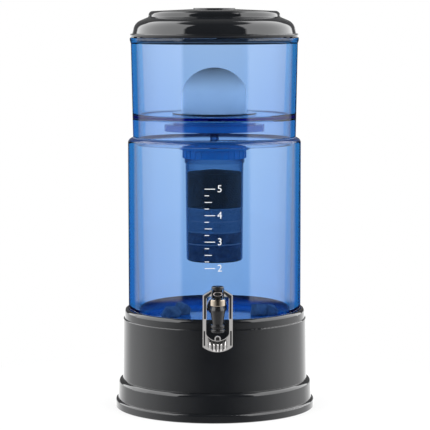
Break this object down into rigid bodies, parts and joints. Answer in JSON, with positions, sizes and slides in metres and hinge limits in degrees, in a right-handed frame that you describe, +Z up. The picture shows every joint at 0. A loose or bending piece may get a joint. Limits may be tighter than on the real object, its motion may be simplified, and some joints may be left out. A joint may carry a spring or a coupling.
{
  "type": "gravity water filter with tap",
  "caption": "Gravity water filter: a lidded clear blue filter tank with ceramic dome and hanging cartridge on a glass store tank with a push tap, set in a dark stand.",
  "frame": {"origin": "centre of the stand's flat underside, on the axis of the tanks", "axes": "+Z up along the axis of the tanks; the tap faces -Y; +X to the right seen from the tap"},
  "size_m": [0.2564, 0.2883, 0.5113],
  "materials": {
    "dark_plastic": "moulded, glossy dark grey",
    "pale_plastic": "moulded, satin pale grey",
    "black_plastic": "moulded, satin black",
    "blue_plastic": "moulded, glossy translucent blue",
    "blue_glass": "clear blue, polished",
    "clear_plastic": "clear, polished",
    "ceramic": "unglazed, matte off-white",
    "bright_chrome": "polished",
    "gold_chrome": "polished, warm tint",
    "steel": "plain stainless",
    "silicone": "matte translucent grey",
    "stone": "rough grey mineral",
    "sand": "coarse grains",
    "carbon": "black granules",
    "felt": "white felt"
  },
  "bodies": {
    "stand": {"stand_body": "dark_plastic", "stand_collar": "dark_plastic", "base_plate": "pale_plastic", "base_screws": "steel", "tank_cushion": "silicone"},
    "store_tank": {"glass_tank": "blue_glass", "mineral_stones": "stone", "rim_seal": "silicone", "tap_body": "black_plastic", "spout_nozzle": "black_plastic", "outer_gasket": "silicone", "inner_gasket": "silicone", "shank_nut": "black_plastic", "bonnet_nut": "gold_chrome", "bonnet_plug": "black_plastic", "valve_spring": "steel"},
    "filter_tank_body": {"filter_tank": "blue_glass", "dome_gasket": "silicone", "dome_base": "clear_plastic", "ceramic_dome": "ceramic", "clamp_plate": "blue_plastic", "hand_nut": "black_plastic"},
    "cartridge": {"cartridge_cap": "blue_plastic", "cartridge_seal": "silicone", "cartridge_cup": "clear_plastic", "carbon_bed": "carbon", "silver_sand_bed": "sand", "quartz_bed": "sand", "zeolite_bed": "stone", "mineral_bed": "stone", "felt_discs": "felt"},
    "lid_body": {"lid": "dark_plastic", "lid_cap": "dark_plastic"},
    "valve": {"valve_stem": "black_plastic", "seat_cup": "silicone", "stem_head": "black_plastic", "head_badge": "bright_chrome", "pivot_pin": "bright_chrome"},
    "lever": {"lever_frame": "bright_chrome", "lever_inlays": "black_plastic", "push_pad": "bright_chrome"}
  },
  "joints": [
    {"name": "tank_lift", "type": "slide", "parent": "stand", "child": "store_tank", "axis": [0, 0, 1], "range_m": [0, 0.06]},
    {"name": "filter_tank_lift", "type": "slide", "parent": "store_tank", "child": "filter_tank_body", "axis": [0, 0, 1], "range_m": [0, 0.2]},
    {"name": "lid_lift", "type": "slide", "parent": "filter_tank_body", "child": "lid_body", "axis": [0, 0, 1], "range_m": [0, 0.08]},
    {"name": "cartridge_turn", "type": "hinge", "parent": "filter_tank_body", "child": "cartridge", "pos_m": [0, 0, 0.33], "axis": [0, 0, 1], "range_deg": [-720, 0]},
    {"name": "stem_lift", "type": "slide", "parent": "store_tank", "child": "valve", "axis": [0, 0, 1], "range_m": [0, 0.0026], "stiffness_N_per_m": 40, "springref_m": -0.004, "deforming": ["valve_spring"]},
    {"name": "lever_push", "type": "hinge", "parent": "valve", "child": "lever", "pos_m": [0, -0.15, 0.1651], "axis": [1, 0, 0], "range_deg": [0, 15], "stiffness_Nm_per_rad": 0.02, "springref_deg": -11.46}
  ],
  "couplings": [
    {"joint": "stem_lift", "follows": "lever_push", "m_per_rad": 0.0092}
  ]
}
